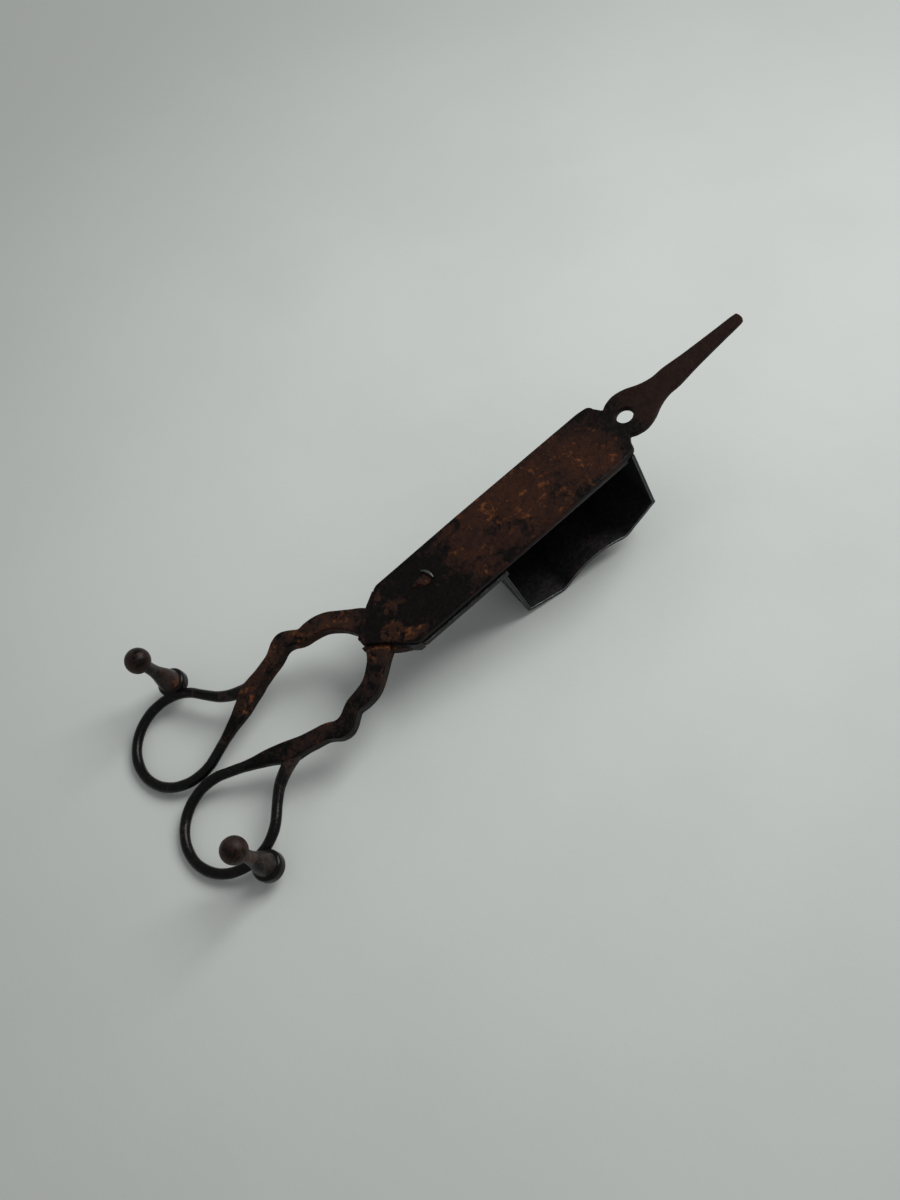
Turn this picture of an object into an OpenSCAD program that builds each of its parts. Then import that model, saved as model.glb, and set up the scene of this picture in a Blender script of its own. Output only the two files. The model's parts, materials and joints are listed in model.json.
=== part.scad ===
// Wick trimmer with a snuff box: two scissor levers on one pivot, turned ball feet.
// It is laid upside down, feet up, on the rear crest of its box and on its bows.
// Drawing frame: pivot axis at x = y = 0, base plate's outer face at z = 0,
// spike towards +x, closed side of the box towards +y, box towards -z.

/* [Base plate] */
// Thickness of the base plate
plate_t = 1.6; // [1.2:0.1:2.4]
// Half width of the base plate at its rear shoulders
plate_rear_half = 9.3; // [8.8:0.1:12]
// Half width of the base plate at its front ears
plate_front_half = 8.7; // [8.2:0.1:11]
// Distance from the plate's centre line to the pivot
plate_shift = 1.6; // [0:0.1:2.5]
// Distance from the pivot back to the rear shoulders
shoulder_back = 9.7; // [9:0.1:12]
// Distance from the pivot back to the tip of the rear point
point_back = 19.9; // [18:0.1:23]
// Half width of the round lobe that carries the front foot's hole
lobe_half = 6; // [4.5:0.05:8]
// Length of the spike in front of the ears
spike_l = 36.4; // [25:0.1:50]
// Half width of the spike's blunt tip
spike_tip_half = 1.2; // [0.6:0.05:1.6]
// Radius of the front foot's hole
foot_hole_r = 2; // [1:0.05:2.5]

/* [Box] */
// Distance from the pivot to the rear wall of the box
pivot_to_box = 13.4; // [13.4:0.1:20]
// Outside length of the box along the plate
box_l = 38.9; // [28:0.1:50]
// Depth of the box at its two ends, below the plate's outer face
box_end_h = 23.1; // [16:0.1:30]
// Extra depth of the two crests of its roof
crest_h = 4; // [2:0.1:6]
// Distance between the two crests
crest_gap = 18.5; // [10:0.1:24]
// Height of the hollow between the two crests
hollow_h = 2.8; // [0.5:0.1:4]
// Distance from the plate's centre line to the box's open mouth
mouth_half = 8.7; // [8:0.1:11]
// Distance from the plate's centre line to the outside of the closed wall
closed_half = 8; // [7.5:0.1:10]
// Thickness of the box's sheet
sheet_t = 0.8; // [0.5:0.1:1.2]

/* [Joint] */
// Space between the plate and the knife lever's tongue
joint_gap = 1.2; // [0.8:0.1:2]
// Thickness of the knife lever's tongue
tongue_t = 1.4; // [1:0.1:2.4]
// Radius of the tongue's rounded shoulder
shoulder_r = 14; // [13.6:0.1:16]
// Radius of the bearing boss round the pivot
boss_r = 6; // [5:0.1:8]
// Radius of the pivot pin
pivot_r = 1.45; // [1:0.05:1.8]
// Height of the pivot pin's end above the plate
pin_end_h = 1.6; // [1.2:0.1:2.5]
// Radius of the pivot pin's flange
flange_r = 4.2; // [3:0.1:6]
// Radius of the turned knob at the pivot pin's far end
knob_r = 3; // [2:0.1:4]
// Height of the turned finial, from its flange to its end
finial_h = 13.2; // [8:0.1:16]
// Height of the cotter that keys the pin to the plate
cotter_t = 0.8; // [0.5:0.05:1]
// Length of the cotter
cotter_l = 5.3; // [4:0.1:8]

/* [Shear] */
// Width of the cutting blade
blade_w = 9.6; // [6:0.1:11]
// Width of the part of the tongue that enters the box
tongue_w = 13.2; // [10:0.1:13.4]
// Thickness of the upright plate that presses the snuff in
presser_t = 0.9; // [0.6:0.1:1.4]
// Width of the presser's riveted foot
presser_foot_w = 4.6; // [4:0.1:6]
// Radius of the rivets that hold blade and presser
rivet_r = 0.9; // [0.5:0.05:1.1]
// Number of rivets through blade and presser
rivet_count = 3; // [2:1:5]

/* [Levers] */
// Thickness of both shanks
shank_t = 3.2; // [2.8:0.1:4]
// Width of the shoulder that shows beyond the plate's rear edges
shoulder_w = 1.1; // [0.6:0.1:1.8]
// Centre line radius of each finger bow
bow_r = 11.3; // [9:0.1:14]
// Radius of the bow's round bar
bow_bar_r = 1.25; // [0.9:0.05:1.3]
// Gap between the two closed bows
bow_gap = 0.4; // [0.2:0.1:2]
// Distance from the pivot back to the centre of each bow
bow_back = 66.4; // [60:0.1:80]

/* [Feet] */
// Radius of the ball at the end of each foot
ball_r = 3; // [2:0.1:4]
// Height of the ball's centre above the plate's outer face
ball_h = 12; // [9:0.1:18]
// Radius of the foot's waist
waist_r = 1.2; // [0.9:0.05:1.8]
// Radius of the flared seat of the foot
seat_r = 2.1; // [1.8:0.1:3.2]
// Radius of the lug on the bow that carries the foot
lug_r = 3.5; // [3.3:0.1:5]
// Radius of the foot's tenon
tenon_r = 1.2; // [0.8:0.05:1.5]
// Angle round the bow at which the knife lever's foot stands
knife_foot_angle = 67; // [55:1:95]
// Angle round the bow at which the pan lever's foot stands
pan_foot_angle = 82; // [55:1:95]

/* [Fits] */
// Radial clearance of a turning pin
run_fit = 0.03; // [0.01:0.01:0.1]
// Radial clearance of a riveted pin
rivet_fit = 0.02; // [0.01:0.01:0.05]
// Play between faces that slide over each other
slide_fit = 0.03; // [0.02:0.01:0.1]
// Play between parts that only pass each other
swing_clear = 0.3; // [0.2:0.05:0.5]

/* [Hidden] */
iron = "#3a2d28";
rust = "#6b3f2c";
steel = "#6f6c68";

// Levels, from the plate's outer face downwards
plate_z = -plate_t;
blade_top = plate_z - slide_fit;
tongue_top = plate_z - joint_gap;
tongue_z = tongue_top - tongue_t;
shank_z = tongue_z + 0.1;
bow_z = shank_z + shank_t / 2;
wall_top = tongue_z - swing_clear;
foot_z = tongue_z - presser_t;

// Places along the plate
box_x0 = pivot_to_box;
box_x1 = box_x0 + box_l;
box_mid = (box_x0 + box_x1) / 2;
ears_x = box_x1 + 1.9;
spike_x = ears_x + spike_l;
hole_x = ears_x + 2.7;
rear_angle = atan2(plate_rear_half, point_back - shoulder_back);

// Places inside the box, measured from the pivot
mouth_y = -plate_shift - mouth_half;
closed_y = closed_half - plate_shift;
inner_x0 = box_x0 + sheet_t;
inner_x1 = box_x1 - sheet_t;
side_in = closed_y - sheet_t;
edge_y = side_in - 0.6;
presser_y = edge_y - presser_t - 0.5;
swing_r = inner_x1 - 0.45;
blade_x0 = boss_r + 3.5;
blade_x1 = sqrt(swing_r * swing_r - edge_y * edge_y);
presser_r = norm([inner_x0 + 0.6, mouth_y]);
presser_x0 = sqrt(presser_r * presser_r - presser_y * presser_y);
presser_x1 = blade_x1 - 0.3;
presser_z = sheet_t + 0.8 - box_end_h;
step_x = inner_x0 + 0.6;

// Places on the bows
bow_at = [-bow_back, bow_r + bow_bar_r + bow_gap / 2];
outer_angle = 33;
inner_angle = -68;
fork = [-47.3, 9.5];
limb_half = bow_bar_r + 0.1;

// Attitude: the part lies on the rear crest of the roof and on both bows
crest_x = box_mid - crest_gap / 2;
crest_z = -box_end_h - crest_h;
lie_a = crest_x + bow_back + bow_r;
lie_b = crest_z - bow_z;
lie_tilt = asin(-bow_bar_r / norm([lie_a, lie_b])) - atan2(lie_b, lie_a);
lie_h = -(crest_x * sin(lie_tilt) + crest_z * cos(lie_tilt));
far_x = spike_x * cos(lie_tilt) + plate_t * sin(lie_tilt);
side_y = (lug_at(pan_foot_angle)[1] - lug_at(knife_foot_angle)[1]) / 2;
near_x = -(bow_back + bow_r) * cos(lie_tilt) - bow_z * sin(lie_tilt) - bow_bar_r;

// Smooth curve through the points p, n steps for each stretch
function curve_point(a, b, c, d, t) =
    0.5 * ((2 * b) + (c - a) * t + (2 * a - 5 * b + 4 * c - d) * t * t
    + (3 * b - a - 3 * c + d) * t * t * t);
function curve(p, n) = let (last = len(p) - 1) [
    for (i = [0:last - 1]) for (k = [0:n - (i == last - 1 ? 0 : 1)])
        curve_point(p[max(i - 1, 0)], p[i], p[i + 1], p[min(i + 2, last)], k / n)
];
function reversed(p) = [for (i = [len(p) - 1:-1:0]) p[i]];
function mirrored(p) = [for (q = reversed(p)) [q[0], -q[1]]];
function arc(r, from, to, n, at = [0, 0]) =
    [for (k = [0:n]) let (a = from + (to - from) * k / n) at + r * [cos(a), sin(a)]];
// One edge of a bar whose centre line points are [x, y, half width]
function edge(c, s) = [
    for (i = [0:len(c) - 1])
        let (a = c[max(i - 1, 0)], b = c[min(i + 1, len(c) - 1)],
             d = [b[0] - a[0], b[1] - a[1]] / norm([b[0] - a[0], b[1] - a[1]]))
        [c[i][0] - s * d[1] * c[i][2], c[i][1] + s * d[0] * c[i][2]]
];
function bar(c) = concat(edge(c, 1), reversed(edge(c, -1)));
function lug_at(a) = bow_at + (bow_r + lug_r - 0.15) * [cos(a), sin(a)];
function wide(p, w) = [for (q = p) [q[0], q[1], w]];

// Puts every piece into the lying attitude, base centre at the origin
module laid() {
    translate([-(far_x + near_x) / 2, side_y, lie_h])
        rotate([0, -lie_tilt, 0])
            children();
}

module slab(z0, z1) {
    translate([0, 0, z0])
        linear_extrude(z1 - z0)
            children();
}

// Upright sheet drawn in x and z, from y0 to y1
module upright(y0, y1) {
    translate([0, y1, 0])
        rotate([90, 0, 0])
            linear_extrude(y1 - y0)
                children();
}

// Rear half of the plate's outline, with its two slanted edges moved out by g
module plate_back(g) {
    back = g / sin(rear_angle);
    translate([0, -plate_shift])
        polygon([
            [-point_back - back, 0], [-shoulder_back - back, -plate_rear_half],
            [0, -plate_rear_half], [0, plate_rear_half],
            [-shoulder_back - back, plate_rear_half]
        ]);
}

// Whole outline of the base plate: point, ears, lobe and spike
module plate_outline() {
    spike_edge = curve([
        [ears_x, lobe_half * 0.78], [ears_x + 1.8, lobe_half * 0.93],
        [ears_x + 4.2, lobe_half], [ears_x + 7, lobe_half * 0.89],
        [ears_x + 10, lobe_half * 0.64], [ears_x + 13, lobe_half * 0.5],
        [ears_x + 16.5, lobe_half * 0.49], [ears_x + spike_l * 0.6, 2.3],
        [ears_x + spike_l * 0.82, 1.65], [spike_x, spike_tip_half]
    ], 5);
    half = concat(
        [[-point_back, 0], [-shoulder_back, plate_rear_half], [box_x1 - 2.4, plate_front_half]],
        arc(1.6, 72, 0, 4, [ears_x - 2.5, plate_front_half - 1.9]),
        spike_edge
    );
    translate([0, -plate_shift])
        polygon(concat(half, mirrored(half)));
}

module base_plate() {
    color(rust)
        difference() {
            slab(plate_z, 0)
                plate_outline();
            pivot_hole(rivet_fit);
            translate([hole_x, -plate_shift, plate_z - 1])
                cylinder(r = foot_hole_r, h = plate_t + 2, $fn = 48);
        }
}

module pivot_hole(fit) {
    translate([0, 0, tongue_z - 1])
        cylinder(r = pivot_r + fit, h = -tongue_z + 2, $fn = 48);
}

// Outline of the roof, in x and z, raised by t: rise, crest, hollow, crest, fall
function roof_line(t) = let (
    half = crest_gap / 2,
    r = (half * half + hollow_h * hollow_h) / (2 * hollow_h),
    a = asin(half / r)
) [
    for (p = concat([[box_x0, -box_end_h]],
                    arc(r, 90 + a, 90 - a, 16, [box_mid, crest_z + hollow_h - r]),
                    [[box_x1, -box_end_h]]))
        p + [0, t]
];

module box_roof() {
    color(steel)
        upright(mouth_y, closed_y)
            polygon(concat(roof_line(0), reversed(roof_line(sheet_t))));
}

module box_rear_wall() {
    color(steel)
        standing_wall(box_x0, inner_x0, mouth_y, closed_y, wall_top);
}

module box_front_wall() {
    color(steel)
        standing_wall(inner_x1, box_x1, mouth_y, closed_y, plate_z);
}

module box_side_wall() {
    color(steel)
        standing_wall(inner_x0, inner_x1, side_in, closed_y, plate_z);
}

// Wall from the roof's inner face up to z = top
module standing_wall(x0, x1, y0, y1, top) {
    upright(y0, y1)
        intersection() {
            translate([x0, crest_z])
                square([x1 - x0, top - crest_z]);
            polygon(concat(roof_line(sheet_t), [[box_x1, plate_z], [box_x0, plate_z]]));
        }
}

// Centre line of a shank, from the joint to the fork, with half widths
shank_line = curve([
    [-15.5, 1.6, 2.3], [-18.8, 5.4, 2.3], [-21.5, 8.5, 2.25], [-25, 10.9, 2],
    [-29.3, 11.6, 1.95], [-32, 13.1, 2.1], [-34.4, 13.8, 2.05], [-36.6, 12.9, 2.05],
    [-39.5, 11.6, 1.85], [-43.5, 10.4, 1.9], [-47.3, 9.5, 2.3]
], 4);
inner_limb = concat([fork + [0.8, -0.4]], arc(bow_r, inner_angle, inner_angle - 12, 3, bow_at));
outer_limb = concat(
    curve([fork + [0.6, 0.7], [-50, 12.1], [-52.6, 13.8], [-54.9, 16.3],
           bow_at + bow_r * [cos(outer_angle), sin(outer_angle)]], 3),
    arc(bow_r, outer_angle + 4, outer_angle + 12, 2, bow_at)
);

// Shank, fork, bow and foot lug of one lever, drawn for the +y side
module handle(foot_angle) {
    slab(shank_z, shank_z + shank_t)
        polygon(bar(shank_line));
    slab(bow_z - limb_half, bow_z + limb_half) {
        polygon(bar(wide(inner_limb, limb_half)));
        polygon(bar(wide(outer_limb, limb_half)));
    }
    translate([bow_at[0], bow_at[1], bow_z])
        rotate([0, 0, outer_angle])
            rotate_extrude(angle = 360 + inner_angle - outer_angle, $fn = 96)
                translate([bow_r, 0])
                    circle(r = bow_bar_r, $fn = 32);
    translate(concat(lug_at(foot_angle), shank_z))
        cylinder(r = lug_r, h = shank_t, $fn = 48);
}

module tenon_hole(foot_angle) {
    translate(concat(lug_at(foot_angle), shank_z - 1))
        cylinder(r = tenon_r + rivet_fit, h = shank_t + 2, $fn = 48);
}

// Area on one side of the plate's centre line, in front of the bows
module half_of_plate(s, gap) {
    translate([-40, s > 0 ? gap - plate_shift : -40 - plate_shift])
        square([40 - shoulder_back + 0.4, 40]);
}

// The lever that carries the plate and box: the -y handle and its root block
module pan_lever() {
    color(iron)
        difference() {
            union() {
                mirror([0, 1, 0])
                    handle(pan_foot_angle);
                slab(tongue_z, plate_z)
                    intersection() {
                        plate_back(shoulder_w);
                        half_of_plate(-1, 0);
                    }
            }
            slab(plate_z, 1)
                plate_back(0);
            slab(tongue_z - 1, 1)
                circle(r = shoulder_r + swing_clear, $fn = 96);
            slab(tongue_z - 1, 1)
                half_of_plate(1, 0);
            mirror([0, 1, 0])
                tenon_hole(pan_foot_angle);
        }
}

// Outline of the knife lever's tongue, from its round shoulder into the box
module tongue_outline() {
    low_y = -plate_shift - plate_rear_half + 0.1;
    high_y = plate_rear_half - 0.5 - plate_shift;
    back_y = edge_y - 1;
    polygon(concat(
        arc(shoulder_r, 180 - asin(high_y / shoulder_r), 180 - asin(low_y / shoulder_r), 24),
        [
            [step_x, low_y], [step_x, back_y - tongue_w],
            [blade_x1 - 0.2, back_y - tongue_w], [blade_x1 - 0.2, back_y],
            [pivot_to_box - 0.4, back_y], [pivot_to_box - 1.4, high_y]
        ]
    ));
}

// The lever that carries blade and presser: the +y handle, shoulder, tongue and boss
module knife_lever() {
    beside = swing_clear / 2;
    color(iron)
        difference() {
            union() {
                difference() {
                    union() {
                        handle(knife_foot_angle);
                        slab(tongue_z, -swing_clear)
                            intersection() {
                                plate_back(beside + shoulder_w);
                                half_of_plate(1, swing_clear);
                            }
                    }
                    slab(tongue_top, 1)
                        plate_back(beside);
                    slab(tongue_z - 1, 1)
                        half_of_plate(-1, 0);
                }
                slab(tongue_z, tongue_top)
                    tongue_outline();
                slab(tongue_z, blade_top)
                    circle(r = boss_r, $fn = 64);
            }
            pivot_hole(run_fit);
            rivet_row(rivet_fit, 1);
            tenon_hole(knife_foot_angle);
        }
}

// Pin with a flange and a turned finial; its far end is slotted for the cotter
module pivot_pin() {
    flange_z = tongue_z - slide_fit;
    end_z = flange_z - finial_h;
    color(iron)
        difference() {
            rotate_extrude($fn = 64)
                polygon(concat(
                    [[0, pin_end_h], [pivot_r - 0.3, pin_end_h], [pivot_r, pin_end_h - 0.3],
                     [pivot_r, flange_z], [flange_r, flange_z], [flange_r, flange_z - 0.8],
                     [flange_r * 0.62, flange_z - 1.6]],
                    curve([[1.8, flange_z - 2.8], [1.6, flange_z - finial_h * 0.5],
                           [knob_r * 0.8, end_z + knob_r * 1.3], [knob_r, end_z + knob_r * 0.7],
                           [knob_r * 0.66, end_z + knob_r * 0.12]], 5),
                    [[0, end_z]]
                ));
            rotate([0, 0, cotter_turn])
                translate([-pivot_r - 1, -cotter_half - slide_fit, 0])
                    cube([2 * pivot_r + 2, 2 * (cotter_half + slide_fit), cotter_t + slide_fit]);
        }
}

cotter_turn = 13;
cotter_half = 0.6;

// Tapered cotter through the pin's end, its broad end pointing back
module pivot_cotter() {
    front = cotter_l * 0.36;
    color(steel)
        rotate([0, 0, cotter_turn])
            slab(0, cotter_t)
                polygon([
                    [front, -cotter_half * 0.7], [front, cotter_half * 0.7],
                    [-pivot_r, cotter_half], [front - cotter_l, cotter_half * 1.2],
                    [front - cotter_l, -cotter_half * 1.2], [-pivot_r, -cotter_half]
                ]);
}

// Steel shear blade on the tongue, its leading edge bevelled underneath
module cutting_blade() {
    color(steel)
        difference() {
            translate([blade_x0, 0, 0])
                rotate([90, 0, 90])
                    linear_extrude(blade_x1 - blade_x0)
                        polygon([
                            [edge_y - blade_w, tongue_top], [edge_y - 1.4, tongue_top],
                            [edge_y, blade_top - 0.25], [edge_y, blade_top],
                            [edge_y - blade_w, blade_top]
                        ]);
            rivet_row(rivet_fit, 1);
        }
}

// Upright plate that pushes the cut wick into the box, with its riveted foot
module presser_plate() {
    color(steel)
        difference() {
            translate([presser_x0, 0, 0])
                rotate([90, 0, 90])
                    linear_extrude(presser_x1 - presser_x0)
                        polygon([
                            [presser_y + presser_t, tongue_z],
                            [presser_y - presser_foot_w, tongue_z],
                            [presser_y - presser_foot_w, foot_z], [presser_y, foot_z],
                            [presser_y, presser_z], [presser_y + presser_t, presser_z]
                        ]);
            slab(foot_z - 1, tongue_z + 1)
                translate([presser_x0 - 1, presser_y - presser_foot_w - 1])
                    square([3, presser_foot_w + 1]);
            rivet_row(rivet_fit, 1);
        }
}

// Row of rivets through blade, tongue and presser foot, or the holes for them
module rivet_row(fit, over) {
    first = presser_x0 + 5;
    pitch = (blade_x1 - 5 - first) / (rivet_count - 1);
    for (i = [0:rivet_count - 1])
        translate([first + i * pitch, presser_y - presser_foot_w / 2, foot_z - over])
            cylinder(r = rivet_r + fit, h = blade_top - foot_z + over * 2, $fn = 32);
}

module blade_rivets() {
    color(steel)
        rivet_row(0, 0);
}

// Turned foot: riveted tenon, flared seat, waist and ball
module foot(foot_angle) {
    seat_z = shank_z + shank_t;
    neck_z = ball_h - sqrt(ball_r * ball_r - waist_r * waist_r);
    rise = neck_z - seat_z;
    ball_from = -acos(waist_r / ball_r);
    color(iron)
        translate(concat(lug_at(foot_angle), 0))
            rotate_extrude($fn = 64)
                polygon(concat(
                    [[0, shank_z], [tenon_r, shank_z], [tenon_r, seat_z]],
                    curve([[seat_r, seat_z], [seat_r * 0.86, seat_z + rise * 0.2],
                           [waist_r * 1.12, seat_z + rise * 0.55], [waist_r, neck_z]], 5),
                    arc(ball_r, ball_from + 6, 84, 18, [0, ball_h]),
                    [[0, ball_h + ball_r]]
                ));
}

module pan_foot() {
    mirror([0, 1, 0])
        foot(pan_foot_angle);
}

module knife_foot() {
    foot(knife_foot_angle);
}

laid() base_plate();
laid() box_rear_wall();
laid() box_front_wall();
laid() box_roof();
laid() box_side_wall();
laid() pan_lever();
laid() pan_foot();
laid() pivot_pin();
laid() pivot_cotter();
laid() knife_lever();
laid() cutting_blade();
laid() presser_plate();
laid() blade_rivets();
laid() knife_foot();
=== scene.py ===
import json

import bpy
import numpy as np
from mathutils import Matrix, Vector


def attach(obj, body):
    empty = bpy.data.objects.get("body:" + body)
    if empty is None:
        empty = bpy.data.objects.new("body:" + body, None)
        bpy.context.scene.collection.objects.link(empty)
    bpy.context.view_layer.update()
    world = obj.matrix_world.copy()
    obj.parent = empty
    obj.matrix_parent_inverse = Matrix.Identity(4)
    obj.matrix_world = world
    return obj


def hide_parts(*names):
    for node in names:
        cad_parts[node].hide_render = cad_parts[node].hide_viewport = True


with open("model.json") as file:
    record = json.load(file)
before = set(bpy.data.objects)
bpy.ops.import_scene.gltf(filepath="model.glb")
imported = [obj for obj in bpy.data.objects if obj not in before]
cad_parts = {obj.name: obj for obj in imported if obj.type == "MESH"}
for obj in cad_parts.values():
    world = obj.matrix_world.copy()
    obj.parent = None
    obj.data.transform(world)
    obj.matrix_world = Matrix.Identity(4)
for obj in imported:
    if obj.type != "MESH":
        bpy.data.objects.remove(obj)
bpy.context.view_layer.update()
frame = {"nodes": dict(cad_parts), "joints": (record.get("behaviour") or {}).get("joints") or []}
print("stage: frame loaded")

# Shapes are drawn in mm in the trimmer's own axes: pivot at x = y = 0, plate's face at z = 0,
# spike towards +x. place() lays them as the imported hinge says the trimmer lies.
levels = {"plate": 1.6, "tongueTop": -2.8, "tongue": -4.2, "bow": -2.5, "shift": -1.6}
hinge = frame["joints"][0]
leanSin, leanCos = hinge["axis"][0], -hinge["axis"][2]
pivotAt = np.array(hinge["pos_m"]) - np.array([-leanSin, 0, leanCos]) * levels["tongue"] / 1000


def turn(p):
    # Rotation about Y by the lean: x and z mix, y stays
    p = np.asarray(p, float)
    return np.stack([p[..., 0] * leanCos - p[..., 2] * leanSin, p[..., 1],
                     p[..., 0] * leanSin + p[..., 2] * leanCos], -1)


def place(p):
    return turn(p) / 1000 + pivotAt


def spline(points, n):
    # Catmull-Rom: each stretch is a cubic through its two points with neighbours' slopes
    p = np.asarray(points, float)
    p = np.concatenate([2 * p[:1] - p[1:2], p, 2 * p[-1:] - p[-2:-1]])
    t = np.linspace(0, 1, n, endpoint=False)[None, :, None]
    a, b, c, d = (p[i:len(p) - 3 + i, None] for i in range(4))
    q = 0.5 * (2 * b + (c - a) * t + (2 * a - 5 * b + 4 * c - d) * t ** 2
               + (3 * b - a - 3 * c + d) * t ** 3)
    return np.concatenate([q.reshape(-1, p.shape[1]), p[-2:-1]])


def evenly(p, n, closed=False):
    # The same line with n points at equal distances along it
    q = np.concatenate([p, p[:1]]) if closed else p
    s = np.concatenate([[0], np.cumsum(np.linalg.norm(np.diff(q[:, :2], axis=0), axis=1))])
    at = np.linspace(0, s[-1], n, endpoint=not closed)
    return np.stack([np.interp(at, s, q[:, k]) for k in range(q.shape[1])], -1)


def ripple(x, y, size, seed):
    # Sum of seven sine waves in turning directions, about -1 to 1
    k = np.arange(7)
    angle = seed + k * 2.4
    wave = 6.283 / (size * (0.6 + 0.17 * k))
    phase = (np.cos(angle) * x[..., None] + np.sin(angle) * y[..., None]) * wave + seed * 3.1 + k * k
    return np.sin(phase).sum(-1) / 3.2


def makeMesh(name, grid, look, body, stands=(), slotName="lever_iron", edge=None, ring=False):
    # Rows run along the first index and close round the second; each end gets a centre point,
    # or with ring=True the last row joins the first
    n, m = grid.shape[:2]
    i, j = np.meshgrid(np.arange(n if ring else n - 1), np.arange(m), indexing="ij")
    a, b = (i * m + j).ravel(), (i * m + (j + 1) % m).ravel()
    c, d = (((i + 1) % n) * m + (j + 1) % m).ravel(), (((i + 1) % n) * m + j).ravel()
    faces = np.stack([a, b, c, d], -1)
    verts = grid.reshape(-1, 3)
    worn = np.zeros(n * m) if edge is None else np.broadcast_to(edge, (n, m)).ravel()
    fans = np.zeros((0, 3), int)
    if not ring:
        k = np.arange(m)
        fans = np.concatenate([
            np.stack([np.full(m, n * m), (k + 1) % m, k], -1),
            np.stack([np.full(m, n * m + 1), (n - 1) * m + k, (n - 1) * m + (k + 1) % m], -1)])
        verts = np.concatenate([verts, grid[:1].mean(1), grid[-1:].mean(1)])
        worn = np.concatenate([worn, worn[:1], worn[-1:]])
    p = verts
    tris = np.concatenate([faces[:, [0, 1, 2]], faces[:, [0, 2, 3]], fans])
    volume = (p[tris[:, 0]] * np.cross(p[tris[:, 1]], p[tris[:, 2]])).sum()
    if volume < 0:
        faces, fans = faces[:, ::-1], fans[:, ::-1]
    mesh = bpy.data.meshes.new(name)
    mesh.from_pydata(place(verts).tolist(), [], faces.tolist() + fans.tolist())
    mesh.attributes.new("wear", "FLOAT", "POINT").data.foreach_set("value", worn.astype(np.float32))
    mesh.shade_smooth()
    piece = bpy.data.objects.new(name, mesh)
    bpy.context.scene.collection.objects.link(piece)
    mesh.materials.append(look)
    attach(piece, body)
    if stands:
        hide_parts(*stands)
    return piece


def sectionShape(corner, side):
    # Signs and angles round a rectangle with rounded corners, used by loft()
    signs = [(1, 1), (-1, 1), (-1, -1), (1, -1), (1, 1)]
    rows = []
    for q in range(4):
        arc = np.linspace(q, q + 1, corner + 1) * np.pi / 2
        run = np.linspace(0, 1, side + 2)[1:-1, None]
        s0, s1 = np.array(signs[q]), np.array(signs[q + 1])
        rows.append(np.column_stack([np.tile(s0, (corner + 1, 1)), arc]))
        rows.append(np.column_stack([s0 + (s1 - s0) * run, np.full(side, arc[-1])]))
    return np.concatenate(rows)


def loft(name, look, body, path, u, v, a, b, r, end=0.4, corner=5, side=3, dents=0, seed=1, **more):
    # A rounded rectangle, half sizes a and b with corner radius r, carried along the path;
    # each end is rounded over by the amount end
    path = np.asarray(path, float)
    n = len(path)
    u, v = (np.broadcast_to(np.asarray(w, float), (n, 3)) for w in (u, v))
    a, b, r = (np.broadcast_to(np.asarray(w, float), (n,)) for w in (a, b, r))
    way = np.gradient(path, axis=0)
    way = way / np.linalg.norm(way, axis=1)[:, None]
    f = np.linspace(1, 0, 5)[:-1] * np.pi / 2
    out, less = end * np.sin(f), end * (1 - np.cos(f))
    path = np.concatenate([path[:1] - way[:1] * out[:, None], path,
                           path[-1:] + way[-1:] * out[::-1, None]])
    lift = np.concatenate([less, np.zeros(n), less[::-1]])
    u, v, a, b, r = (np.concatenate([np.repeat(w[:1], 4, 0), w, np.repeat(w[-1:], 4, 0)])
                     for w in (u, v, a, b, r))
    a, b = a - lift, b - lift
    r = np.minimum(np.maximum(r - lift, 0.02), np.minimum(a, b) * 0.999)
    s = sectionShape(corner, side)
    px = (a - r)[:, None] * s[:, 0] + r[:, None] * np.cos(s[:, 2])
    py = (b - r)[:, None] * s[:, 1] + r[:, None] * np.sin(s[:, 2])
    grid = path[:, None] + px[..., None] * u[:, None] + py[..., None] * v[:, None]
    if dents:
        push = dents * ripple(grid[..., 0] + grid[..., 2], grid[..., 1] - grid[..., 2], 6, seed)
        grid = grid + push[..., None] * (grid - path[:, None]) / np.maximum(
            np.linalg.norm(grid - path[:, None], axis=-1, keepdims=True), 1e-6)
    tight = np.clip(1.6 - r / np.minimum(a, b) * 1.6, 0, 1)[:, None]
    return makeMesh(name, grid, look, body, edge=np.abs(np.sin(2 * s[:, 2])) * tight, **more)


def lathe(name, look, body, profile, at, segments=72, edge=None, **more):
    # Profile (radius, z) turned round an upright axis at x, y
    p = np.asarray(profile, float)
    a = np.linspace(0, 2 * np.pi, segments, endpoint=False)
    grid = np.stack([at[0] + p[:, :1] * np.cos(a), at[1] + p[:, :1] * np.sin(a),
                     np.repeat(p[:, 1:2], segments, 1)], -1)
    return makeMesh(name, grid, look, body, edge=edge, **more)


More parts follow.
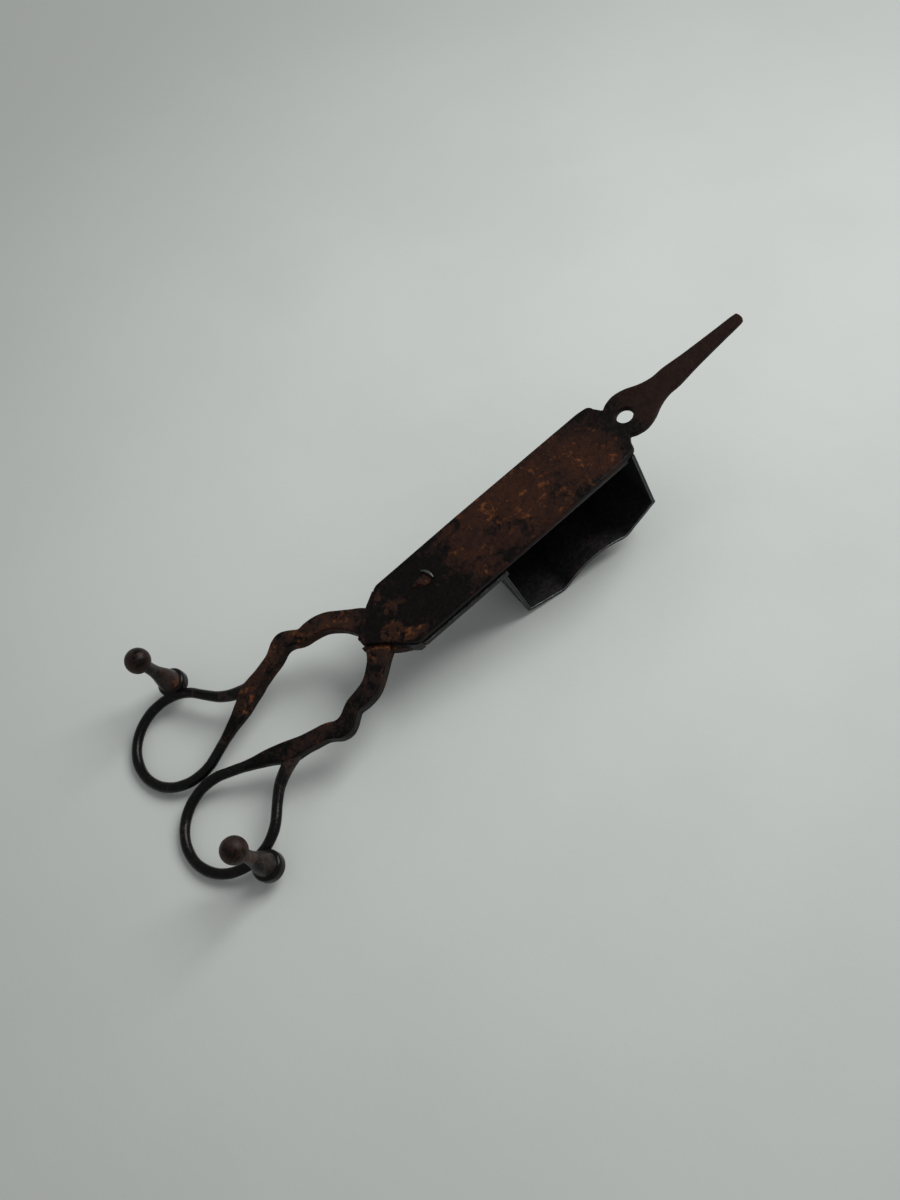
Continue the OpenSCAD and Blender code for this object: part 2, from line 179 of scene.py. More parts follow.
def flatPlate(name, look, body, outline, centre, top, bottom, rim, hole=0, steps=30, n=720,
              warp=0, seed=1, **more):
    # Rows run from the hole, or the centre, out over the face, round the rim and back below.
    # Straight lines from the centre meet the outline once, so row points go along them.
    outline = evenly(np.asarray(outline, float), n, True)
    near = np.roll(outline, -1, 0) - np.roll(outline, 1, 0)
    normal = np.stack([near[:, 1], -near[:, 0]], -1) / np.linalg.norm(near, axis=1)[:, None]
    after = np.roll(outline, -1, 0)
    area = (outline[:, 0] * after[:, 1] - after[:, 0] * outline[:, 1]).sum()
    normal = normal * np.sign(area)
    centre = np.array(centre, float)
    ray = outline - centre
    ray = ray / np.linalg.norm(ray, axis=1)[:, None]
    small = centre + ray * max(hole, 0.02)
    soft = 0.18 if hole else 0
    t = np.linspace(0, 1, steps) ** 0.85
    t = np.concatenate([t[:-1] * 0.985, [0.985, 1]])[:, None, None]
    inner = centre + ray * (max(hole, 0.02) + soft)
    inset = outline - normal * rim
    face = inner + (inset - inner) * t
    f = np.linspace(0, np.pi / 2, 5)[1:, None, None]
    roundOver = inset + normal * rim * np.sin(f)
    zOver = top - rim * (1 - np.cos(f[..., 0]))
    zUnder = bottom + rim * (1 - np.cos(f[..., 0]))
    rows = [face, roundOver, roundOver[::-1], face[::-1]]
    flat = np.ones((len(face), n))
    heights = [flat * top, zOver * np.ones(n), zUnder[::-1] * np.ones(n), flat * bottom]
    if hole:
        rows += [np.stack([small, small])]
        heights += [np.stack([np.full(n, bottom + soft), np.full(n, top - soft)])]
    xy, z = np.concatenate(rows), np.concatenate(heights)
    away = np.linalg.norm(xy - outline, axis=-1)
    z = z + warp * ripple(xy[..., 0], xy[..., 1], 9, seed) * np.clip(away / 3, 0, 1)
    facing = np.concatenate([np.ones(len(face)), 1 - f[:, 0, 0] * 0.5, 1 - f[::-1, 0, 0] * 0.5,
                             np.ones(len(z) - len(face) - 8)])
    edge = np.exp(-away / 0.3) * facing[:, None]
    grid = np.concatenate([xy, z[..., None]], -1)
    return makeMesh(name, grid, look, body, edge=edge, ring=bool(hole), **more)


class Socket:
    # A shader value that adds, multiplies and compares through Math nodes
    def __init__(self, maker, out):
        self.maker, self.out = maker, out

    def math(self, how, *others, clamp=False):
        return self.maker.node("ShaderNodeMath", {"operation": how, "use_clamp": clamp},
                               {k: v for k, v in enumerate((self,) + others)})

    def __add__(self, o): return self.math("ADD", o)
    def __radd__(self, o): return self.math("ADD", o)
    def __mul__(self, o): return self.math("MULTIPLY", o)
    def __rmul__(self, o): return self.math("MULTIPLY", o)
    def __sub__(self, o): return self.math("SUBTRACT", o)

    def __rsub__(self, o):
        return self.maker.node("ShaderNodeMath", {"operation": "SUBTRACT"}, {0: o, 1: self})

    def clip(self): return self.math("ADD", 0.0, clamp=True)
    def step(self, low, high):
        # 0 below low, 1 above high, smooth between
        return self.maker.node("ShaderNodeMapRange", {"interpolation_type": "SMOOTHSTEP"},
                               {0: self, 1: low, 2: high, 3: 0.0, 4: 1.0})


class Maker:
    def __init__(self, name):
        self.material = bpy.data.materials.new(name)
        self.material.use_nodes = True
        self.tree = self.material.node_tree
        self.shader = self.tree.nodes["Principled BSDF"]
        self.here = self.tree.nodes.new("ShaderNodeTexCoord").outputs["Object"]

    def feed(self, socket, value):
        if isinstance(value, Socket):
            self.tree.links.new(value.out, socket)
        elif isinstance(value, bpy.types.NodeSocket):
            self.tree.links.new(value, socket)
        else:
            socket.default_value = value

    def node(self, kind, settings=None, inputs=None, output=0):
        made = self.tree.nodes.new(kind)
        for key, value in (settings or {}).items():
            setattr(made, key, value)
        for key, value in (inputs or {}).items():
            self.feed(made.inputs[key], value)
        return Socket(self, made.outputs[output])

    def noise(self, size, detail=4.0, rough=0.6, shift=0.0, warp=0.0):
        # size is the width of the features, in mm
        moved = self.node("ShaderNodeVectorMath", {"operation": "ADD"},
                          {0: self.here, 1: (shift, shift * 0.7, -shift)})
        return self.node("ShaderNodeTexNoise", {}, {
            "Vector": moved, "Scale": 1000.0 / size, "Detail": detail, "Roughness": rough,
            "Distortion": warp})

    def drawn(self):
        # x along the plate and y across it, in mm from the pivot
        moved = self.node("ShaderNodeVectorMath", {"operation": "SUBTRACT"},
                          {0: self.here, 1: tuple(pivotAt)})
        way = self.node("ShaderNodeVectorMath", {"operation": "DOT_PRODUCT"},
                        {0: moved, 1: (leanCos * 1000, 0, leanSin * 1000)}, output=1)
        return way, self.node("ShaderNodeVectorMath", {"operation": "DOT_PRODUCT"},
                              {0: moved, 1: (0, 1000, 0)}, output=1)

    def cells(self, size, shift=0.0):
        moved = self.node("ShaderNodeVectorMath", {"operation": "ADD"},
                          {0: self.here, 1: (shift, -shift, shift)})
        return self.node("ShaderNodeTexVoronoi", {"feature": "F1"},
                         {"Vector": moved, "Scale": 1000.0 / size})

    def mix(self, mask, low, high):
        made = self.tree.nodes.new("ShaderNodeMix")
        made.data_type = "RGBA"
        self.feed(made.inputs[0], mask)
        self.feed(made.inputs[6], low if isinstance(low, Socket) else (*low, 1.0))
        self.feed(made.inputs[7], high if isinstance(high, Socket) else (*high, 1.0))
        return Socket(self, made.outputs[2])

    def finish(self, colour, rough, metal, height, depth, gloss=0.5):
        self.feed(self.shader.inputs["Base Color"], colour)
        self.feed(self.shader.inputs["Roughness"], rough)
        self.feed(self.shader.inputs["Metallic"], metal)
        self.shader.inputs["Specular IOR Level"].default_value = gloss
        bump = self.node("ShaderNodeBump", {},
                         {"Strength": 1.0, "Distance": depth / 1000.0, "Height": height})
        self.feed(self.shader.inputs["Normal"], bump)
        return self.material


def agedIron(name, look):
    # Dark scale, brown rust in patches, orange flecks in the rust and bare steel where it rubs
    m = Maker(name)
    wear = m.node("ShaderNodeAttribute", {"attribute_name": "wear"}, output=2)
    broad, patch = m.noise(look["broad"], 3.0, 0.55, 0.3), m.noise(look["patch"], 6.0, 0.68, 0.9, 0.6)
    grain, speck = m.noise(0.9, 5.0, 0.7, 1.7), m.noise(1.4, 4.0, 0.7, 2.6, 0.4)
    pits = m.cells(1.3, 0.4)
    field = broad * look["cloud"] + patch * (1 - look["cloud"]) + grain * 0.14
    rubbed, even, (x, y) = 0.0, 0.0, m.drawn()
    if look["tail"]:
        field = field - (1 - (x + (patch - 0.5) * 8.0).step(-60.0, -44.0)) * look["tail"]
    if look["rear"]:
        # Dark behind the pivot but for spots by the point, grey towards the front corners
        ragged = x + (patch - 0.5) * 14.0
        rear = 1 - ragged.step(0.0, 15.0)
        spots = m.noise(3.2, 4.0, 0.6, 6.1).step(0.46, 0.66) * (1 - x.step(-13.0, -2.0))
        edgeY = (y + (patch - 0.5) * 5.0 + 1.6).math("ABSOLUTE").step(6.2, 9.2)
        front = ragged.step(42.0, 58.0) * 0.13 + edgeY * ragged.step(8.0, 40.0) * 0.06
        even = ragged.step(54.0, 60.0)
        field = ((field - rear * look["rear"] + spots * 0.26 - front) * (1 - even)
                 + even * (0.487 + patch * 0.06))
        rubbed = edgeY * x.step(30.0, 50.0) * (1 - x.step(55.0, 57.0)) * 0.35
    rust = (field + look["rust"]).step(0.50, 0.66)
    deep = (patch * 0.55 + speck * 0.5).step(0.46, 0.64)
    fleck = (speck * 0.55 + m.noise(4.0, 3.0, 0.6, 3.3) * 0.55 + look["fleck"]).step(0.58, 0.69)
    fleck = fleck * rust * (1 - even * 0.9)
    bare = ((wear * (0.35 + m.noise(3.0, 4.0, 0.7, 4.1) * 1.1) * look["edge"]) + look["bare"] + rubbed
            + (m.noise(6.0, 5.0, 0.7, 5.2) - 0.5) * look["rub"]).step(0.45, 0.8)
    colour = m.mix(grain.step(0.35, 0.7), look["dark"], look["scale"])
    colour = m.mix(rust, colour, m.mix(deep, look["brown"], look["red"]))
    colour = m.mix(fleck, colour, look["orange"])
    colour = m.mix(bare, colour, m.mix(grain, look["steel"], look["shine"]))
    rough = look["rough"] + rust * 0.2 + grain * 0.14 - bare * 0.16
    metal = (0.75 - rust * 0.6 + bare * 0.25).clip()
    height = grain * 0.5 + speck * rust * 0.9 + patch * 0.8 - pits.step(0.0, 0.35) * -0.3
    return m.finish(colour, rough, metal, height, look["bump"], look["gloss"])


# dark and scale: the sound surface; brown, red and orange: rust; steel and shine: rubbed spots;
# broad and patch: widths of the rust patches in mm; rear and tail: how far rust gives way there
plateLook = {
    "dark": (0.0050, 0.0042, 0.0040), "scale": (0.0108, 0.0084, 0.0075), "brown": (0.0365, 0.0120, 0.0056),
    "red": (0.0170, 0.0062, 0.0040), "orange": (0.130, 0.042, 0.011), "steel": (0.026, 0.026, 0.027),
    "shine": (0.070, 0.070, 0.071), "broad": 13.0, "patch": 4.2, "cloud": 0.4, "rust": 0.055,
    "fleck": -0.02, "edge": 0.8, "bare": 0.0, "rub": 0.35, "rough": 0.46, "bump": 0.22, "gloss": 0.13,
    "rear": 0.22, "tail": 0,
}
leverLook = dict(plateLook, dark=(0.0038, 0.0033, 0.0032), scale=(0.0085, 0.0066, 0.0060), rust=0.02,
                 fleck=0.005, brown=(0.036, 0.0118, 0.0052), red=(0.0135, 0.0050, 0.0033), broad=6.0,
                 patch=2.2, rough=0.40, edge=0.3, rub=0.15, gloss=0.16, rear=0, tail=0.13)
panLook = dict(leverLook, rust=-0.012, fleck=-0.01, brown=(0.024, 0.0078, 0.0042), rough=0.36, patch=1.9)
bowLook = dict(plateLook, dark=(0.0036, 0.0034, 0.0034), scale=(0.0075, 0.0066, 0.0062), rust=0.0,
               fleck=-0.05, rough=0.20, bump=0.05, rub=0.12, gloss=0.45, rear=0, tail=0.11)
ballLook = dict(plateLook, rust=0.03, fleck=0.01, brown=(0.028, 0.0098, 0.0052),
                red=(0.0115, 0.0048, 0.0035), orange=(0.10, 0.034, 0.011), rough=0.24, bump=0.05,
                broad=6.0, patch=3.0, rub=0.2, gloss=0.25, rear=0)
# The box sheet's bare patches are lightened and tinted blue: partly real rubbed steel, partly a painted sheen
# for the pale streaks inside the roof
sheetLook = dict(plateLook, dark=(0.020, 0.0195, 0.021), scale=(0.040, 0.040, 0.043), rust=-0.075,
                 fleck=-0.08, edge=1.3, rub=1.15, rough=0.42, bump=0.12, gloss=0.4, rear=0,
                 shine=(0.26, 0.275, 0.29))
bladeLook = dict(plateLook, dark=(0.025, 0.024, 0.023), scale=(0.05, 0.047, 0.044), rust=-0.06,
                 fleck=-0.08, bare=0.12, rub=0.8, rough=0.36, bump=0.08, gloss=0.5, rear=0,
                 shine=(0.16, 0.16, 0.16))
# The pivot's lip: blade steel made mostly bare and lighter, partly real rubbed steel and partly a painted
# highlight on its lit crest
lipWearAndHighlight = dict(bladeLook, bare=0.6, rub=0.3, steel=(0.05, 0.052, 0.052), shine=(0.20, 0.205, 0.21),
               rough=0.42)
plateIron, leverIron, panIron, bowIron = (agedIron(n, k) for n, k in (
    ("plateIron", plateLook), ("leverIron", leverLook), ("panIron", panLook), ("bowIron", bowLook)))
ballIron, boxIron, bladeSteel, lipSteelAndHighlight = (agedIron(n, k) for n, k in (
    ("ballIron", ballLook), ("boxIron", sheetLook), ("bladeSteel", bladeLook), ("lipSteelAndHighlight", lipWearAndHighlight)))
print("stage: materials made")

# Base plate with rear point, ears, lobe and spike
plate = {"pointX": -19.9, "shoulderX": -9.7, "rearHalf": 9.3, "frontHalf": 8.7, "earsX": 54.2,
         "spikeX": 90.6, "lobe": 6.0, "tip": 1.2, "holeX": 56.9, "holeR": 2.0, "rim": 0.32}
earsX, lobe = plate["earsX"], plate["lobe"]
spikeSide = spline([
    (earsX + 0.3, lobe * 0.8), (earsX + 1.8, lobe * 0.93), (earsX + 4.2, lobe), (earsX + 7, lobe * 0.89),
    (earsX + 10, lobe * 0.64), (earsX + 13, lobe * 0.5), (earsX + 16.5, lobe * 0.49), (earsX + 21.8, 2.3),
    (earsX + 29.8, 1.65), (plate["spikeX"] - 0.8, plate["tip"]), (plate["spikeX"], 0.45)], 10)
ear = np.radians(np.linspace(72, -15, 8))
earCorner = np.stack([earsX - 2.5 + 1.6 * np.cos(ear), plate["frontHalf"] - 1.9 + 1.6 * np.sin(ear)], -1)
halfPlate = np.concatenate([
    [(plate["pointX"] + 0.1, 0.25), (plate["shoulderX"] - 0.4, plate["rearHalf"] - 0.35),
     (plate["shoulderX"] + 0.5, plate["rearHalf"])],
    [(14.0, plate["rearHalf"] - 0.05), (earsX - 4.3, plate["frontHalf"])], earCorner, spikeSide])
plateOutline = np.concatenate([halfPlate, halfPlate[::-1] * (1, -1)]) + (0, levels["shift"])
flatPlate("basePlate", plateIron, "pan_side", plateOutline, (plate["holeX"], levels["shift"]), 0.0,
          -levels["plate"], plate["rim"], hole=plate["holeR"], steps=44, n=900, warp=0.05, seed=2.0,
          stands=("base_plate",), slotName="plate_iron")

# Box: end walls, side wall and a roof with two crests and a hollow between
box = {"x0": 13.4, "x1": 52.3, "endZ": -23.1, "crestZ": -27.1, "crestGap": 18.5, "hollow": 2.8,
       "mouthY": -10.3, "closedY": 6.4, "sheet": 0.38, "endSheet": 0.39, "corner": 0.16,
       "roofPoints": 160, "rounding": 26, "wallPoints": 24, "sidePoints": 80}
middle, half = (box["x0"] + box["x1"]) / 2, box["crestGap"] / 2
hollowR = (half ** 2 + box["hollow"] ** 2) / (2 * box["hollow"])
bend = np.arcsin(half / hollowR)
arc = np.pi / 2 + np.linspace(bend, -bend, 40)
hollowLine = np.stack([middle + hollowR * np.cos(arc),
                       box["crestZ"] + box["hollow"] - hollowR + hollowR * np.sin(arc)], -1)
roofLine = evenly(np.concatenate(
    [[(box["x0"], box["endZ"])], hollowLine, [(box["x1"], box["endZ"])]]), box["roofPoints"])
for turns in range(box["rounding"]):  # neighbours averaged, which rounds the crests
    roofLine[1:-1] = (roofLine[:-2] + roofLine[2:]) / 4 + roofLine[1:-1] / 2
roofWay = np.gradient(roofLine, axis=0)
roofWay = roofWay / np.linalg.norm(roofWay, axis=1)[:, None]
midY, halfY = (box["mouthY"] + box["closedY"]) / 2, (box["closedY"] - box["mouthY"]) / 2
flatY = np.full(box["roofPoints"], midY)
roofUp = np.stack([-roofWay[:, 1], np.zeros(box["roofPoints"]), roofWay[:, 0]], -1)
roofMid = np.stack([roofLine[:, 0], flatY, roofLine[:, 1] + 0.4], -1)
loft("boxRoof", boxIron, "pan_side", roofMid[1:-1], (0, 1, 0), roofUp[1:-1], halfY, box["sheet"],
     box["corner"], end=0.3, side=12, dents=0.03, seed=3.0, stands=("box_roof",), slotName="box_sheet")


def wall(name, x, top, stands):
    z = np.linspace(box["endZ"] + 0.35, top - 0.15, box["wallPoints"])
    path = np.stack([np.full(len(z), x), np.full(len(z), midY), z], -1)
    loft(name, boxIron, "pan_side", path, (0, 1, 0), (1, 0, 0), halfY, box["endSheet"], box["corner"],
         end=0.15, side=12, dents=0.02, seed=4.0, stands=stands, slotName="box_sheet")


wall("boxRearWall", box["x0"] + 0.4, -4.5, ("box_rear_wall",))
wall("boxFrontWall", box["x1"] - 0.4, -levels["plate"], ("box_front_wall",))
sideX = np.linspace(box["x0"] + 0.7, box["x1"] - 0.7, box["sidePoints"])
sideLow = np.interp(sideX, roofLine[:, 0], roofLine[:, 1]) + 0.4
sideHalf = (-levels["plate"] - sideLow) / 2
sidePath = np.stack([sideX, np.full(len(sideX), box["closedY"] - 0.4),
                     (sideLow - levels["plate"]) / 2], -1)
loft("boxSideWall", boxIron, "pan_side", sidePath, (0, 1, 0), (0, 0, 1), box["endSheet"], sideHalf,
     box["corner"], end=0.1, side=12, stands=("box_side_wall",), slotName="box_sheet")
print("stage: plate and box made")

# Both levers: shank, fork, finger bow and lug, drawn for the +y side
lever = {"bowX": -66.4, "bowY": 12.75, "bowR": 11.3, "bar": 1.21, "lugOut": 3.35, "lugR": 3.5, "half": 1.6}
bowCentre = np.array([lever["bowX"], lever["bowY"]])
lugAngle = {1: 67, -1: 82}
lugAt = {side: (bowCentre + (lever["bowR"] + lever["lugOut"]) * np.array([np.cos(a), np.sin(a)])) * (1, side)
         for side, a in ((k, np.radians(v)) for k, v in lugAngle.items())}
turnAt = np.radians(np.linspace(290, 36, 44))
bowArc = bowCentre + lever["bowR"] * np.stack([np.cos(turnAt), np.sin(turnAt)], -1)
bowPath = np.concatenate([
    [(-44.0, 10.2), (-48.0, 8.45), (-52.5, 6.5), (-57.2, 4.45)], bowArc,
    [(-55.3, 16.8), (-53.0, 14.2), (-50.2, 12.3), (-46.8, 10.8), (-43.5, 10.0)]])
bowPath = evenly(spline(bowPath, 6), 260)
# Outer and inner edge of the shank, from the joint past the notch, the bump and the fork
# and out along the bow's inner limb, where the shank thins into the bow
shankEdges = np.array([
    (-13.7, 4.85, -18.7, 0.5), (-15.2, 6.4, -19.3, 1.9), (-17.3, 8.1, -20.1, 3.4),
    (-19.5, 9.9, -21.3, 5.3), (-21.5, 11.6, -23.1, 7.2), (-23.5, 12.65, -24.7, 8.4),
    (-25.5, 13.25, -26.3, 9.1), (-27.5, 13.45, -27.9, 9.5), (-29.2, 13.3, -29.5, 9.7),
    (-30.1, 13.9, -30.5, 10.0), (-31.5, 15.1, -31.5, 10.5), (-33.0, 15.9, -32.7, 11.3),
    (-34.5, 16.0, -34.0, 11.7), (-36.1, 15.5, -35.1, 11.5), (-37.5, 14.4, -36.1, 10.9),
    (-39.0, 13.5, -37.7, 10.2), (-41.5, 12.8, -40.3, 9.5), (-43.5, 12.3, -42.5, 8.8),
    (-45.4, 12.0, -44.6, 7.9), (-47.1, 11.7, -46.5, 7.1), (-48.7, 10.9, -48.1, 6.4),
    (-50.4, 9.7, -49.6, 5.75), (-52.5, 8.3, -51.5, 5.1), (-55.0, 6.95, -54.0, 4.4),
    (-58.3, 5.1, -57.5, 3.15)])
shankEdges = evenly(spline(shankEdges, 8), 180)


def across(path):
    way = np.gradient(path[:, :2], axis=0)
    way = way / np.linalg.norm(way, axis=1)[:, None]
    return np.stack([-way[:, 1], way[:, 0], np.zeros(len(path))], -1)


def handle(side, body, node, prefix, look):
    flip = np.array([1, side, 1])
    bow = np.column_stack([bowPath, np.full(len(bowPath), levels["bow"])]) * flip
    s = np.linspace(0, 1, len(bow))
    root = np.clip(1 - np.minimum(s, 1 - s) / 0.17, 0, 1) ** 1.5
    loft(prefix + "Bow", bowIron, body, bow, across(bow), (0, 0, 1), lever["bar"] + 0.5 * root,
         lever["bar"] + 0.15 * root, lever["bar"] - 0.3 * root, end=0.5, dents=0.03, seed=5.0 + side,
         stands=(node,), corner=6)
    outer, inner = shankEdges[:, :2] * (1, side), shankEdges[:, 2:] * (1, side)
    wide = np.linalg.norm(outer - inner, axis=1)
    shank = np.column_stack([(outer + inner) / 2, np.full(len(outer), levels["bow"])])
    acrossShank = np.column_stack([(outer - inner) / wide[:, None], np.zeros(len(outer))])
    s = np.linspace(0, 1, len(shank))
    out = np.clip((s - 0.7) / 0.3, 0, 1)
    loft(prefix + "Shank", look, body, shank, acrossShank, (0, 0, 1), wide / 2 + 0.12 - 0.05 * out,
         lever["half"] - 0.45 * out, 0.55 + 0.5 * out, end=0.3, dents=0.06, seed=6.0 + side, corner=6)
    r, z0, z1 = lever["lugR"], levels["bow"] - lever["half"], levels["bow"] + lever["half"]
    f = np.linspace(0, np.pi / 2, 7)
    lug = np.concatenate([[(0.3, z0)], np.stack([r - 0.9 + 0.9 * np.sin(f), z0 + 0.9 - 0.9 * np.cos(f)], -1),
                          np.stack([r - 0.9 + 0.9 * np.cos(f), z1 - 0.9 + 0.9 * np.sin(f)], -1), [(0.3, z1)]])
    lathe(prefix + "Lug", bowIron, body, lug, lugAt[side])


handle(1, "knife_side", "knife_lever", "knife", leverIron)
handle(-1, "pan_side", "pan_lever", "pan", panIron)

# Shoulders beside the plate's rear edges, knife lever's tongue and boss, pan lever's root
root = {"tipX": -19.9, "cornerX": -9.7, "half": 9.3, "width": 1.1, "gap": 0.15, "arcR": 14.0,
        "under": -1.62, "points": 30}
edgeWay = np.array([root["cornerX"] - root["tipX"], root["half"], 0])
edgeWay = edgeWay / np.linalg.norm(edgeWay)
edgeOut = np.array([-edgeWay[1], edgeWay[0], 0])
tipAt = np.array([root["tipX"], levels["shift"], 0])
cornerAt = np.array([root["cornerX"], levels["shift"] + root["half"], 0])


def shoulder(name, body, side, top, gap, startIn):
    t = np.linspace(0, 1, root["points"])[:, None]
    line = tipAt + edgeWay * startIn + (cornerAt - edgeWay * 1.3 - tipAt - edgeWay * startIn) * t
    wide = root["width"] * (1 - 0.75 * np.clip((t - 0.55) / 0.45, 0, 1) ** 1.5)
    line = line + edgeOut * (gap + wide / 2)
    line[:, 1] = (line[:, 1] - levels["shift"]) * side + levels["shift"]
    line[:, 2] = (top + levels["tongue"]) / 2
    out = edgeOut * (1, side, 1)
    loft(name, panIron, body, line, out, (0, 0, 1), wide[:, 0] / 2, (top - levels["tongue"]) / 2, 0.3,
         end=0.3, dents=0.02, seed=8.0)


shoulder("knifeShoulder", "knife_side", 1, -0.3, root["gap"], 1.2)
shoulder("panShoulder", "pan_side", -1, root["under"], 0.0, 0.2)
arcA = np.radians(np.linspace(185.5, 230.4, root["points"]))
tongueOutline = np.concatenate([
    [(50.6, -9.2), (50.6, 4.0), (13.0, 4.0), (12.0, 7.2), (-9.6, 7.4)],
    [(-18.9, -1.1)], root["arcR"] * np.stack([np.cos(arcA), np.sin(arcA)], -1),
    [(14.8, -10.8), (14.8, -9.2)]])
flatPlate("knifeTongue", boxIron, "knife_side", tongueOutline, (5.0, -0.5), levels["tongueTop"],
          levels["tongue"], 0.2, steps=30, n=700, warp=0.02, seed=7.0)
lathe("knifeBoss", leverIron, "knife_side",
      [(1.6, -2.9), (5.9, -2.9), (6.0, -2.75), (6.0, -1.75), (5.9, -1.64), (1.6, -1.64)], (0, 0))
arcB = np.radians(np.linspace(186.4, 229.3, root["points"]))
blockOutline = np.concatenate([
    [(-20.6, -1.7), (-10.6, -10.8)],
    (root["arcR"] + 0.3) * np.stack([np.cos(arcB), np.sin(arcB)], -1)[::-1]])
flatPlate("panRoot", boxIron, "pan_side", blockOutline, (-15.6, -4.6), root["under"], levels["tongue"],
          0.15, steps=14, n=260)
print("stage: levers made")

# Turned feet, and the pivot with its cotter
foot = {"seat": 2.75, "waist": 1.4, "ball": 3.0, "ballZ": 12.0}


def turnedFoot(name, body, node, side):
    z0 = levels["bow"] + lever["half"]
    neck = foot["ballZ"] - np.sqrt(foot["ball"] ** 2 - foot["waist"] ** 2)
    rise = neck - z0
    seatR, waist = foot["seat"], foot["waist"]
    stem = spline([(seatR, z0 - 0.1), (seatR * 0.97, z0 + 0.5), (seatR * 0.84, z0 + rise * 0.22),
                   (waist * 1.12, z0 + rise * 0.55), (waist, z0 + rise * 0.9),
                   (waist * 1.12, neck + 0.1)], 8)
    a = np.linspace(-np.arccos(foot["waist"] * 1.15 / foot["ball"]) + 0.05, np.pi / 2 - 0.03, 40)
    ball = np.stack([foot["ball"] * np.cos(a), foot["ballZ"] + foot["ball"] * np.sin(a)], -1)
    profile = np.concatenate([[(1.2, levels["bow"] - lever["half"] + 0.02), (1.2, z0 - 0.1)], stem, ball])
    rubbed = np.concatenate([np.zeros(2), np.full(len(stem), 0.78), np.zeros(len(ball))])[:, None]
    lathe(name, ballIron, body, profile, lugAt[side], edge=rubbed, stands=(node,), slotName="foot_iron")


turnedFoot("knifeFoot", "knife_side", "knife_foot", 1)
turnedFoot("panFoot", "pan_side", "pan_foot", -1)
pin = {"r": 1.45, "flange": 4.2, "length": 13.2, "lipPoints": 40, "cotterPoints": 30}
flangeZ = levels["tongue"] - 0.03
endZ = flangeZ - pin["length"]
f = np.linspace(np.pi / 2 - 0.05, 0, 8)
dome = np.stack([pin["r"] * np.cos(f), 0.12 + 0.4 * np.sin(f)], -1)
finial = spline([(2.3, flangeZ - 1.7), (1.75, flangeZ - 3.0), (1.6, flangeZ - 6.6), (2.2, endZ + 4.3),
                 (2.95, endZ + 2.6), (2.7, endZ + 1.1), (1.6, endZ + 0.2), (0.3, endZ)], 8)
flange = [(pin["r"], flangeZ), (4.05, flangeZ), (pin["flange"], flangeZ - 0.15),
          (pin["flange"], flangeZ - 0.7), (4.0, flangeZ - 0.9), (2.9, flangeZ - 1.2)]
lathe("pivotPin", leverIron, "pan_side", np.concatenate([dome, flange, finial]), (0, 0),
      stands=("pivot_pin",))
# Painted shadow: a thin dark plate pointing back stands in for the shaded hollow by the pivot; a raised lip
# round its front, partly bare steel and partly a painted highlight, and the cotter's rusty end in it
seat = spline([(1.75, -1.1), (1.75, 0.2), (0.9, 2.0), (-0.4, 1.7), (-3.4, 0.6), (-0.9, -1.2),
               (0.8, -1.5), (1.75, -1.1)], 12)
# This dark teardrop is painted shadow: a sheet laid where the hollow by the pivot lies in shade
flatPlate("pivotShadowPatch", panIron, "pan_side", seat[:-1], (0.2, 0.1), 0.12, -0.1, 0.08, steps=10, n=160,
          slotName="blade_steel")
lipT = np.linspace(0, np.pi, pin["lipPoints"])
lipLine = spline([(0.6, 2.15), (1.3, 1.2), (1.7, 0.0), (1.75, -1.15)], 10)
lip = np.column_stack([evenly(lipLine, len(lipT)), np.full(len(lipT), 0.3)])
loft("pivotLip", lipSteelAndHighlight, "pan_side", lip, across(lip), (0, 0, 1), 0.14 + 0.14 * np.sin(lipT),
     0.35 + 0.35 * np.sin(lipT), 0.12, end=0.12, slotName="blade_steel")
cotter = np.linspace((-0.1, 0.2, 0.2), (-2.8, 0.5, 0.2), pin["cotterPoints"])
bulge = 0.24 + 0.36 * np.sin(np.linspace(0.35, np.pi - 0.2, len(cotter)))
loft("pivotCotter", leverIron, "pan_side", cotter, across(cotter), (0, 0, 1), bulge, bulge * 0.8,
     bulge * 0.76, end=0.25, dents=0.03, stands=("pivot_cotter",), slotName="blade_steel")

for node in ("cutting_blade", "presser_plate", "blade_rivets"):
    made = frame["nodes"][node]
    made.data.materials.clear()
    made.data.materials.append(bladeSteel)
print("stage: feet and joint made")
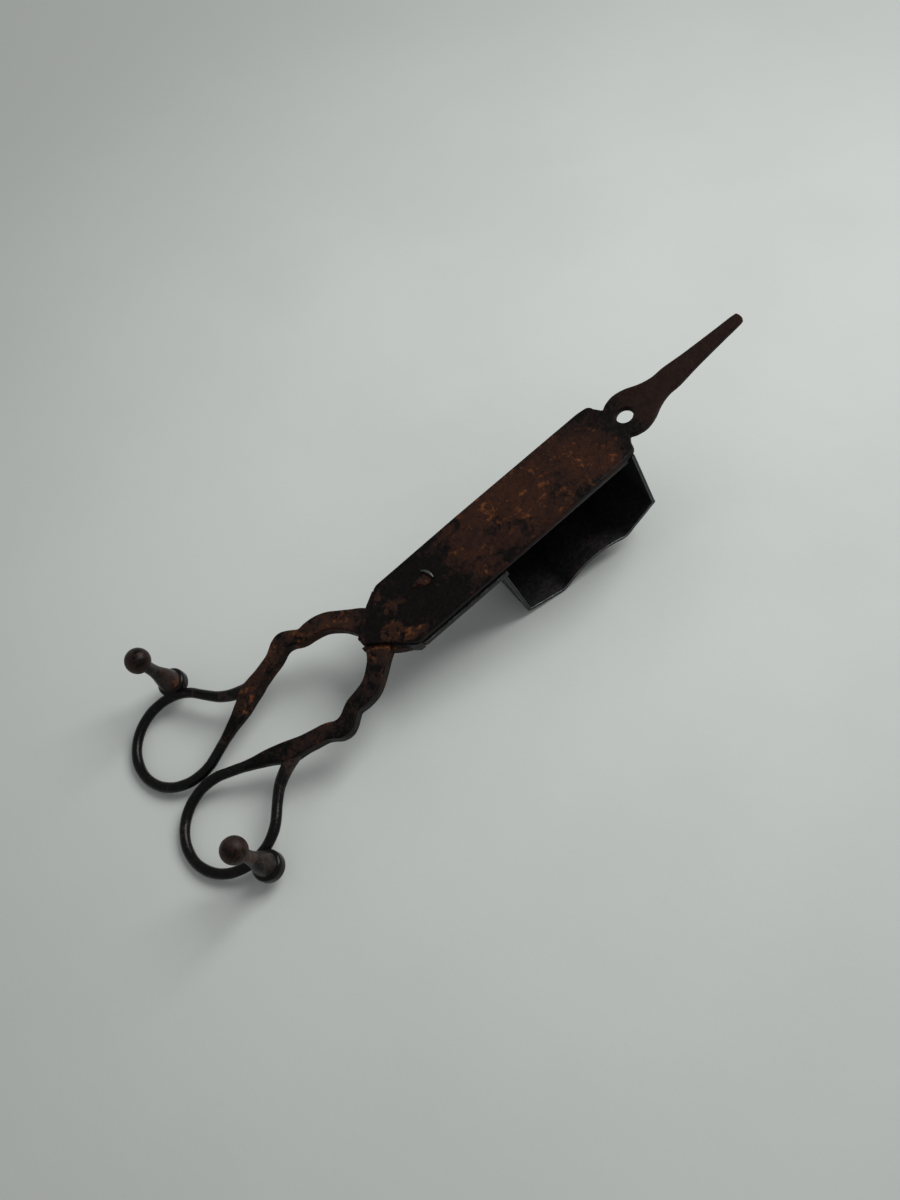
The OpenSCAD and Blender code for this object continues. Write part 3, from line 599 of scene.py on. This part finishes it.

# Pale paper floor, soft light and the camera
# The third colour, with middle, near and dim, sets the painted shade on the floor: the paper darkens towards
# that colour with distance from middle, between near and dim
stage = {"floor": (0.575, 0.595, 0.572), "shade": (0.535, 0.558, 0.535), "far": (0.38, 0.395, 0.38),
         "half": 3, "middle": (0.062, 0.015, 0), "near": 0.04, "dim": 0.30, "key": 7.0, "sky": 0.405}
floorMesh = bpy.data.meshes.new("floor")
wide = stage["half"]
floorMesh.from_pydata([(-wide, -wide, 0), (wide, -wide, 0), (wide, wide, 0), (-wide, wide, 0)], [],
                      [(0, 1, 2, 3)])
floor = bpy.data.objects.new("floor", floorMesh)
bpy.context.scene.collection.objects.link(floor)
paper = Maker("paper")
clouds, fibre = paper.noise(60.0, 4.0, 0.5, 0.2), paper.noise(1.5, 3.0, 0.6, 0.7)
# Painted shade: the paper's colour darkens with distance from a point by the box, standing in for the light's
# fall-off towards the corners
away = paper.node("ShaderNodeVectorMath", {"operation": "DISTANCE"},
                  {0: paper.here, 1: stage["middle"]}, output=1)
nearColour = paper.mix(clouds.step(0.3, 0.75), stage["floor"], stage["shade"])
floorMesh.materials.append(paper.finish(
    paper.mix(away.step(stage["near"], stage["dim"]), nearColour, stage["far"]),
    0.8 + fibre * 0.1, clouds * 0.0, clouds * 4.0 + fibre * 0.25, 0.12))

world = bpy.data.worlds.new("softRoom")
bpy.context.scene.world = world
world.use_nodes = True
world.node_tree.nodes["Background"].inputs["Color"].default_value = (0.97, 0.985, 1.0, 1)
world.node_tree.nodes["Background"].inputs["Strength"].default_value = stage["sky"]


def softLight(name, at, size, power, colour=(1, 1, 1)):
    data = bpy.data.lights.new(name, "AREA")
    data.size, data.energy, data.color = size, power, colour
    light = bpy.data.objects.new(name, data)
    light.location = at
    light.rotation_euler = (-Vector(at)).to_track_quat("-Z", "Y").to_euler()
    bpy.context.scene.collection.objects.link(light)


softLight("window", (0.62, 0.0, 0.72), 0.55, stage["key"], (0.99, 1.0, 0.99))

view = {"eye": (1.75, -148.3, 220.0), "ahead": (-0.002, 0.537, -0.844), "up": (0.655, 0.638, 0.404)}
ahead, up = turn(view["ahead"]), turn(view["up"])
ahead = ahead / np.linalg.norm(ahead)
right = np.cross(ahead, up)
right = right / np.linalg.norm(right)
up = np.cross(right, ahead)
cameraData = bpy.data.cameras.new("camera")
cameraData.sensor_fit, cameraData.sensor_height, cameraData.lens = "VERTICAL", 24.0, 24.0
cameraData.clip_start = 0.01
camera = bpy.data.objects.new("camera", cameraData)
eye = place(view["eye"])
camera.matrix_world = Matrix([[right[k], up[k], -ahead[k], eye[k]] for k in range(3)] + [[0, 0, 0, 1]])
bpy.context.scene.collection.objects.link(camera)
bpy.context.scene.camera = camera
bpy.context.scene.view_settings.view_transform = "Standard"
print("stage: floor, light and camera made")
